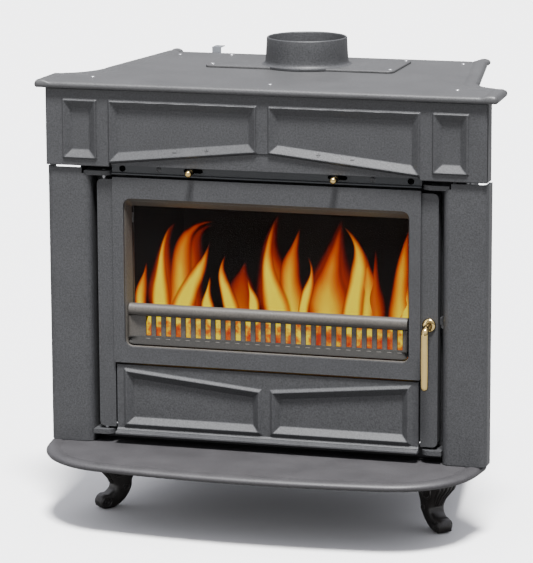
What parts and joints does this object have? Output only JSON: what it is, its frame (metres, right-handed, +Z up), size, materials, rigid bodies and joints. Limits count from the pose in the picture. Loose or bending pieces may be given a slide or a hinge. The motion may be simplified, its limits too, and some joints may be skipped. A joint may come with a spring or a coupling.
{
  "type": "wood burning stove",
  "caption": "Cast-iron wood stove with a wide glazed door, slotted fender, ash flap, panelled frieze, bowed hearth plate, scroll feet and a round flue collar.",
  "frame": {"origin": "on the floor, under the middle of the stove's bounding box", "axes": "+Z up, the front with the door towards -Y, +X to the viewer's right when facing the front"},
  "size_m": [0.858, 0.644, 0.861],
  "materials": {
    "cast_iron": "grey stove paint on sand-cast iron, fine grain",
    "foot_iron": "near-black stove paint over deep relief",
    "rail": "smooth blue-grey paint",
    "bezel_iron": "brownish grey, heat-toned",
    "blackened_iron": "soot-black, rough",
    "brass": "polished",
    "steel": "plain steel",
    "zinc": "zinc-plated sheet",
    "firebrick": "dry firebrick",
    "rope": "braided glass rope",
    "window_glass": "clear ceramic glass"
  },
  "bodies": {
    "stove": {"hearth_plate": "cast_iron", "base_plate": "cast_iron", "column_left": "cast_iron", "column_right": "cast_iron", "front_frame": "cast_iron", "frieze": "cast_iron", "lintel": "cast_iron", "air_duct": "cast_iron", "side_panel_left": "cast_iron", "side_panel_right": "cast_iron", "back_plate": "cast_iron", "top_plate": "cast_iron", "flue_collar": "cast_iron", "latch_keeper": "cast_iron", "grate": "cast_iron", "foot_front_left": "foot_iron", "foot_front_right": "foot_iron", "foot_rear_left": "foot_iron", "foot_rear_right": "foot_iron", "air_rail": "rail", "fire_bed": "blackened_iron", "baffle": "blackened_iron", "rail_screw_left": "steel", "rail_screw_right": "steel", "top_screw_front": "steel", "top_screw_left": "steel", "top_screw_right": "steel", "top_screw_rear_left": "steel", "top_screw_rear_right": "steel", "flue_screw_front_left": "steel", "flue_screw_front_right": "steel", "flue_screw_rear_left": "steel", "flue_screw_rear_right": "steel", "hinge_pin_top": "steel", "hinge_pin_bottom": "steel", "ash_pan": "steel", "heat_shield": "zinc", "shield_bracket": "zinc", "brick_left": "firebrick", "brick_right": "firebrick", "brick_back": "firebrick"},
    "door": {"door_frame": "cast_iron", "window_bezel": "bezel_iron", "fender": "bezel_iron", "window_glass": "window_glass", "glass_clip_low_left": "steel", "glass_clip_low_right": "steel", "glass_clip_high_left": "steel", "glass_clip_high_right": "steel", "door_rope": "rope", "handle_rose": "brass"},
    "flap": {"ash_flap": "cast_iron", "flap_pin_left": "steel", "flap_pin_right": "steel"},
    "handle": {"handle_lever": "brass", "latch_tongue": "steel"},
    "left_slide": {"air_slide_left": "blackened_iron", "air_knob_left": "brass"},
    "right_slide": {"air_slide_right": "blackened_iron", "air_knob_right": "brass"}
  },
  "joints": [
    {"name": "door_hinge", "type": "hinge", "parent": "stove", "child": "door", "pos_m": [-0.307, -0.122, 0.165], "axis": [0, 0, -1], "range_deg": [0, 85]},
    {"name": "handle_turn", "type": "hinge", "parent": "door", "child": "handle", "pos_m": [0.3025, -0.13, 0.389], "axis": [0, -1, 0], "range_deg": [-35, 22]},
    {"name": "flap_hinge", "type": "hinge", "parent": "door", "child": "flap", "pos_m": [0, -0.124, 0.17], "axis": [1, 0, 0], "range_deg": [0, 85]},
    {"name": "left_air_slide", "type": "slide", "parent": "stove", "child": "left_slide", "axis": [1, 0, 0], "range_m": [-0.014, 0.014]},
    {"name": "right_air_slide", "type": "slide", "parent": "stove", "child": "right_slide", "axis": [1, 0, 0], "range_m": [-0.014, 0.014]}
  ]
}
